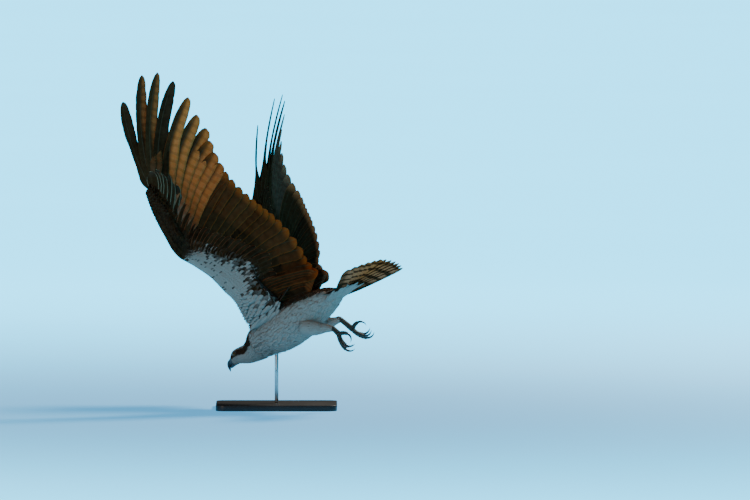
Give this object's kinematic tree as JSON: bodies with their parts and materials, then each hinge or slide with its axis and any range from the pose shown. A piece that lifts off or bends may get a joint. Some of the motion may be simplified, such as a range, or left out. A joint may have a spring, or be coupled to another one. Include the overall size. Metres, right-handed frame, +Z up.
{
  "type": "osprey in flight on a display stand",
  "caption": "Life-size osprey in flight with raised wings, fanned tail and trailing feet, held by a rod on a flat base.",
  "frame": {"origin": "centre of the underside of the stand's base", "axes": "+Z up, X along the base's long side, +Y away from the side that is looked at; the bird heads towards -X and down"},
  "size_m": [0.7446, 0.7748, 0.8944],
  "materials": {
    "white_plumage": "soft white feathers, greyer below, with brown streaks",
    "wing_plumage": "dark brown feathers, barred and paler on the flight feathers",
    "tail_plumage": "feathers barred brown and pale",
    "horn": "smooth black horn, blue grey at the base of the bill",
    "foot_skin": "pale grey-green scaled skin",
    "eye": "clear, yellow iris and black pupil",
    "stand_black": "satin black stained wood",
    "stand_steel": "brushed"
  },
  "bodies": {
    "root": {"torso": "white_plumage", "neck": "white_plumage", "head": "white_plumage", "eye_left": "eye", "eye_right": "eye", "bill_upper": "horn", "bill_lower": "horn", "wing_left": "wing_plumage", "wing_right": "wing_plumage", "tail": "tail_plumage", "thigh_left": "white_plumage", "thigh_right": "white_plumage", "foot_left": "foot_skin", "foot_right": "foot_skin", "claw_inner_left": "horn", "claw_middle_left": "horn", "claw_outer_left": "horn", "claw_hind_left": "horn", "claw_inner_right": "horn", "claw_middle_right": "horn", "claw_outer_right": "horn", "claw_hind_right": "horn", "stand_base": "stand_black", "stand_rod": "stand_steel"}
  },
  "joints": []
}
